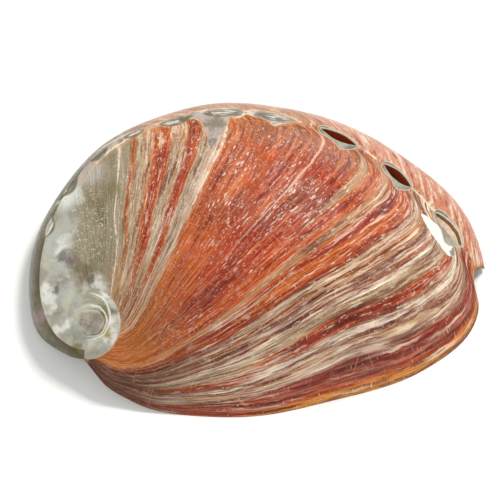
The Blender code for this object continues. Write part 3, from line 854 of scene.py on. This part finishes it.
pearl = blend(pearl, tint(196, 186, 156), warm_spots * 0.45)
pearl = blend(pearl, tint(222, 222, 214), white_spots * 0.8)
in_olive = past(bands_at, 0.612, 0.625)
colour = blend(colour, tint(150, 138, 114), in_olive * past(cloud, 0.42, 0.56) * 0.8)
speckled = in_olive * until(distance(spot_at, SPECKLED_CENTRE), 0.010, 0.022)
speckles = past(noise(spot_at, 1300.0, 3.0, 0.7), 0.56, 0.64)
colour = blend(colour, tint(214, 206, 184), speckles * speckled * 0.8)
cream_line = between(bands_at, *CREAM_LINE) * mid_part * past(waver, 0.34, 0.44)
colour = blend(colour, WHITE_CREAM, cream_line)
white_line = between(bands_at, *WHITE_LINE) * past(waver, 0.36, 0.46)
colour = blend(colour, WHITE_CREAM, white_line * 0.9)
colour = blend(colour, pearl, in_pearl)
for centre, radius, mark in OLD_MARKS:
    gap = distance(spot_at, centre) + (cloud - 0.5) * 0.009 + (grain - 0.5) * 0.003
    colour = blend(colour, mark, until(gap, radius * 0.4, radius * 1.5) * 0.8)

# The nub is a low mauve-grey dome of its own. Pale and dark whorl lines run round its right side, the side
# towards the lamp, out of true. They are partly the whorls' own pale rim and tan lines, and partly painted
# highlight on the raised edges with painted shadow lines beside them. Each has its middle in metres, its
# radius in millimetres, its colour and its share.
MILLIMETRES = 1000
NUB_CENTRE = (-0.0536, -0.0288, 0.0180)
WHORL_LIGHT_AND_SHADE_LINES = (
    ((-0.0538, -0.0286, 0.0178), 4.4, tint(92, 84, 64), 0.75),
    ((-0.0540, -0.0282, 0.0178), 5.3, tint(226, 220, 202), 0.85),
    ((-0.0545, -0.0276, 0.0178), 6.4, tint(106, 104, 74), 0.6),
    ((-0.0552, -0.0268, 0.0178), 7.6, tint(232, 230, 218), 0.8),
)
across_spire = node("ShaderNodeSeparateXYZ", None, {0: spot_at}, 0)
right_side = past(across_spire + (cloud - 0.5) * 0.006, -0.0572, -0.0520)
nub_wobble = (patches - 0.5) * 4.0 + (cloud - 0.5) * 3.0
nub_gap = distance(spot_at, NUB_CENTRE) * MILLIMETRES + nub_wobble
nub_colour = two_tone(tint(104, 92, 80), tint(150, 138, 124), cloud, 0.42, 0.58)
colour = blend(colour, nub_colour, until(nub_gap, 2.8, 4.8) * 0.8)
# Painted highlight and shadow: pale lines on the whorl edges and dark shadow lines beside them, only on the
# side that faces the lamp.
for centre, radius, line_colour, share in WHORL_LIGHT_AND_SHADE_LINES:
    whorl_gap = distance(spot_at, centre) * MILLIMETRES + nub_wobble * 0.7
    whorl_light_and_shade_line = between(whorl_gap, (radius - 0.5, radius), (radius, radius + 0.5))
    colour = blend(colour, line_colour, whorl_light_and_shade_line * right_side * share)

# The wall outside the hole row: slanting mottles of pink-red and cream on the young part, orange-brown behind
# the sealed holes, olive with mauve clouds at the spire end.
slanting = noise(vector(age_at * 84 - part_at * 30, part_at * 6 + age_at * 8), 1.0, 5.0, 0.68)
wall_colour = two_tone(tint(150, 58, 38), tint(200, 130, 100), slanting, 0.38, 0.46)
wall_colour = two_tone(wall_colour, tint(224, 204, 176), slanting, 0.52, 0.60)
rear = two_tone(tint(150, 86, 50), tint(188, 132, 92), slanting, 0.42, 0.52)
rear = two_tone(rear, tint(214, 192, 160), slanting, 0.55, 0.66)
wall_colour = two_tone(wall_colour, rear, bands_at, 0.28, 0.34)
end_wall = two_tone(tint(84, 78, 50), tint(112, 106, 78), cloud, 0.42, 0.60)
end_wall = two_tone(end_wall, tint(150, 130, 132), patches, 0.60, 0.68)
pale_ends = past(grown(24, 5, detail=2.0), 0.55, 0.63) * until(age_at, 0.74, 0.82)
end_wall = blend(end_wall, tint(188, 186, 170), pale_ends * 0.9)
wall_colour = two_tone(wall_colour, end_wall, bands_at, 0.54, 0.62)
wall_colour = blend(wall_colour, BROWN_RED, dark_threads * 0.25)
wall_start = 1 - past(age_at, 0.64, 0.74) * 0.07
on_wall = past(part_at - wall_start + (grain - 0.5) * 0.03, 0.0, 0.03)
on_wall = on_wall * between(age_at, (0.0, 0.003), (1.0, 1.01))
colour = blend(colour, wall_colour, on_wall)

# Round the sealed holes the red layer is ground off in a jagged hem: a cream hairline, then grey nacre, then
# the silver-olive lens itself. The open holes have a grey nacre crescent and a thin pale rim. A hairline also
# runs along the row between them.
HEM_AGES = (0.30, 0.315)
HEM_PEARL = (0.72, 0.78)
ROW_HAIRLINE = ((0.02, 0.04), (0.295, 0.30))
jag = (grain - 0.5) * 1.6 + (cloud - 0.5) * 3.0
hem_at = attribute("hem_gap") + jag
ragged = past(noise(spot_at, 170.0), 0.44, 0.56)
nacre_spots = past(noise(spot_at, 120.0, 4.0), 0.54, 0.64)
nacre_grey = two_tone(tint(136, 126, 112), tint(188, 174, 164), cloud, 0.40, 0.60)
nacre_grey = blend(nacre_grey, WHITE_CREAM, nacre_spots * 0.7)
in_hem = past(bands_at, *HEM_AGES) * until(pearl_at, *HEM_PEARL)
hairline = until(hem_at, 3.2, 3.9) * between(age_at, *ROW_HAIRLINE)
colour = blend(colour, tint(232, 212, 182), hairline * (ragged * 0.7 + 0.2))
colour = blend(colour, tint(212, 152, 88), until(hem_at, 0.2, 1.3) * in_hem * 0.5)
colour = blend(colour, WHITE_CREAM, until(hem_at, -0.1, 0.2) * in_hem * (ragged * 0.7 + 0.25))
colour = blend(colour, nacre_grey, until(hem_at, -0.9, -0.3) * in_hem)
seal_gap_at = attribute("seal_gap")
seal_side_at = attribute("seal_side")
swirl = noise(vector(seal_side_at * 0.9 + cloud * 3, seal_gap_at * 0.3, drift * 4))
lens_colour = two_tone(tint(104, 96, 76), tint(222, 220, 208), swirl, 0.42, 0.62)
lens_rim = between(seal_gap_at, (-0.75, -0.25), (0.05, 0.35))
colour = blend(colour, lens_colour, until(seal_gap_at, -0.4, 0.1) * 0.9)
colour = blend(colour, tint(112, 102, 84), lens_rim * 0.7)
# Painted reflection: the polished facet beside the youngest hole is coloured white as the lamp's reflection,
# with grey nacre mottles at its end.
facet_reflection = until(attribute("facet_gap") + (grain - 0.5) * 1.2, -0.1, 0.5)
facet_reflection_colour = two_tone(tint(240, 240, 234), tint(128, 126, 116), cloud, 0.58, 0.66)
colour = blend(colour, facet_reflection_colour, facet_reflection)
hole_ring_at = attribute("hole_ring")
hole_gap_at = attribute("hole_gap")
ring_grey = two_tone(tint(124, 118, 104), tint(168, 162, 148), cloud, 0.42, 0.58)
colour = blend(colour, tint(206, 196, 172), until(hole_ring_at + jag * 0.25, 0.3, 0.8))
colour = blend(colour, ring_grey, until(hole_ring_at + jag * 0.2, -0.1, 0.3))
colour = blend(colour, tint(204, 194, 172), until(hole_gap_at, 0.2, 0.4))

# Edges and inside: the rim shows ochre and brown layers, the hole walls are red-brown, partly the red layers
# and partly a painted glow of light coming through the thin shell, and the bowl is mother-of-pearl whose
# pinks and greens change along the growth lines, strongest in the scar of the muscle.
SCAR_CENTRE = (0.012, 0.004, 0.036)
NACRE = (
    (0.30, tint(190, 206, 200)), (0.38, tint(222, 198, 204)), (0.44, tint(186, 212, 196)),
    (0.49, tint(226, 214, 200)), (0.54, tint(178, 202, 214)), (0.60, tint(224, 192, 206)),
    (0.68, tint(208, 216, 190)),
)
SCAR = (
    (0.30, tint(96, 150, 140)), (0.38, tint(176, 120, 150)), (0.44, tint(104, 170, 130)),
    (0.49, tint(190, 170, 140)), (0.54, tint(92, 134, 170)), (0.60, tint(184, 116, 140)),
    (0.68, tint(150, 172, 110)),
)
inwards_at = attribute("inwards")
layered = noise(vector(inwards_at * 9, age_at * 60, part_at * 8))
edge_colour = two_tone(tint(184, 112, 48), tint(122, 62, 32), layered, 0.42, 0.60)
old_edge = two_tone(tint(150, 140, 112), tint(104, 96, 74), layered, 0.42, 0.60)
edge_colour = two_tone(edge_colour, old_edge, age_at, 0.45, 0.60)
youngest_wall = two_tone(tint(124, 80, 42), tint(226, 204, 178), inwards_at, 0.36, 0.42)
# Painted glow: the older holes' walls are the red layers, lightened as if lit by light coming through the
# thin shell.
hole_wall_and_glow = two_tone(youngest_wall, tint(142, 52, 24), age_at, 0.105, 0.13)
edge_colour = blend(edge_colour, hole_wall_and_glow, until(hole_gap_at, 0.3, 0.8))
colour = two_tone(colour, edge_colour, inwards_at, 0.05, 0.14)
play = noise(vector(age_at * 20 + patches * 2.4, part_at * 3 + drift * 3), 1.0, 2.0, 0.4)
play = play + (cords - 0.5) * 0.10 + (cloud - 0.5) * 0.08
scar_gap = distance(spot_at, SCAR_CENTRE) + (patches - 0.5) * 0.012
nacre = node("ShaderNodeValToRGB", {"stops": NACRE}, {0: play})
scar_nacre = node("ShaderNodeValToRGB", {"stops": SCAR}, {0: play})
nacre = blend(nacre, scar_nacre, until(scar_gap, 0.019, 0.023) * 0.7)
in_bowl = past(inwards_at, 0.86, 0.97)
colour = blend(colour, nacre, in_bowl)

# Gloss and relief: fine growth steps, and the pits and scratches of the polishing. The heights are shares of
# the relief's depth in metres.
RELIEF_DEPTH = 0.0006
RELIEF_STRENGTH = 0.9
SHEEN = 0.28
on_skin = until(inwards_at, 0.05, 0.9)
rough = 0.17 + flecks_and_sparkle * 0.2 + (threads - 0.5) * 0.2 + in_bowl * 0.05 + on_skin * 0.03
relief = (threads * 0.5 + cords * 1.1 + folds * 1.4) * (1 - in_pearl) + grain * 0.45
relief = relief - scratches * 0.25 - flecks_and_sparkle * 0.25
relief = relief * (1 - in_bowl * 0.8)
bump = node("ShaderNodeBump", None, {"Strength": RELIEF_STRENGTH, "Distance": RELIEF_DEPTH, "Height": relief})
feed(shader.inputs["Base Color"], colour)
feed(shader.inputs["Roughness"], rough)
feed(shader.inputs["Normal"], bump)
feed(shader.inputs["Specular IOR Level"], SHEEN)
mesh.materials.append(polished)

# The setting: a plain white table and a pale room, with one soft lamp above on the right and a weak one in
# front. The camera looks down on the shell from its long near side.
TABLE_SIDE = 3.0
TABLE_WHITE = (0.93, 0.945, 0.945)
TABLE_ROUGHNESS = 0.7
ROOM_WHITE = (0.97, 0.985, 1.0)
ROOM_LIGHT = 0.54
corner = TABLE_SIDE / 2
table_corners = [(-corner, -corner, 0), (corner, -corner, 0), (corner, corner, 0), (-corner, corner, 0)]
table_mesh = bpy.data.meshes.new("table")
table_mesh.from_pydata(table_corners, [], [(0, 1, 2, 3)])
table = bpy.data.objects.new("table", table_mesh)
bpy.context.collection.objects.link(table)
white = bpy.data.materials.new("white_table")
white.use_nodes = True
paint = white.node_tree.nodes["Principled BSDF"].inputs
paint["Base Color"].default_value = (*TABLE_WHITE, 1)
paint["Roughness"].default_value = TABLE_ROUGHNESS
table_mesh.materials.append(white)

room = bpy.data.worlds.new("pale_room")
room.use_nodes = True
backdrop = room.node_tree.nodes["Background"].inputs
backdrop["Color"].default_value = (*ROOM_WHITE, 1)
backdrop["Strength"].default_value = ROOM_LIGHT
bpy.context.scene.world = room


def aimed(thing, name, at, aim):
    """A new object at one point, turned to look at another."""
    made = bpy.data.objects.new(name, thing)
    made.location = at
    made.rotation_euler = (Vector(aim) - Vector(at)).to_track_quat("-Z", "Y").to_euler()
    bpy.context.collection.objects.link(made)
    return made


def soft_lamp(name, at, side, watts, light_colour):
    """A square lamp turned to the middle of the shell."""
    lamp = bpy.data.lights.new(name, "AREA")
    lamp.size = side
    lamp.energy = watts
    lamp.color = light_colour
    aimed(lamp, name, at, (0, 0, 0.02))


soft_lamp("window", (0.44, 0.50, 0.98), 0.30, 10.0, (1.0, 0.97, 0.91))
soft_lamp("front_fill", (-0.3, -0.6, 0.9), 0.9, 3.3, (1.0, 0.95, 0.86))

CAMERA_ELEVATION = 64.5
CAMERA_DISTANCE = 0.83
LENS = 182
camera_aim = np.array([-0.00245, -0.00163, 0.014])
slope = np.radians(CAMERA_ELEVATION)
camera_place = camera_aim + CAMERA_DISTANCE * np.array([0, -np.cos(slope), np.sin(slope)])
camera = aimed(bpy.data.cameras.new("camera"), "camera", camera_place, camera_aim)
camera.data.lens = LENS
camera.data.clip_start = 0.01
bpy.context.scene.camera = camera
bpy.context.scene.view_settings.view_transform = "Standard"
